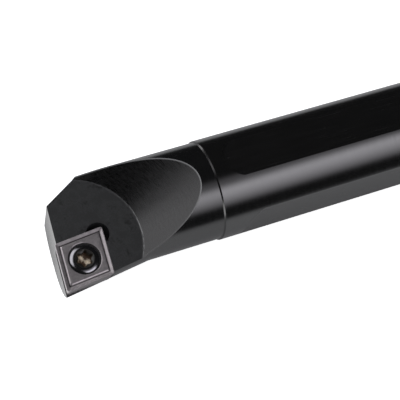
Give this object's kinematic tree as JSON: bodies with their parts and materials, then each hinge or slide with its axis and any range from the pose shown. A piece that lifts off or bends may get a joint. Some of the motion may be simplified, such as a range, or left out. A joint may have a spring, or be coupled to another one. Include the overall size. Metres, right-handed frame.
{
  "type": "boring bar",
  "caption": "Right-hand indexable boring bar: round black steel shank with clamping flats, flared head with a conical chip gullet, and a screw-clamped rhombic insert.",
  "frame": {"origin": "on the shank's axis, where the full shank diameter begins behind the neck's shoulder", "axes": "+X along the shank from the head to the rear end, +Z square to the top clamping flat, -Y towards the side of the cutting tip"},
  "size_m": [0.2, 0.022, 0.02],
  "materials": {
    "bar_steel": "black oxide, satin where milled, glossier on the turned shank",
    "insert_coating": "coated carbide, satin, pinkish grey",
    "screw_steel": "black oxide, polished"
  },
  "bodies": {
    "root": {"bar_body": "bar_steel", "insert": "insert_coating", "clamp_screw": "screw_steel"}
  },
  "joints": []
}
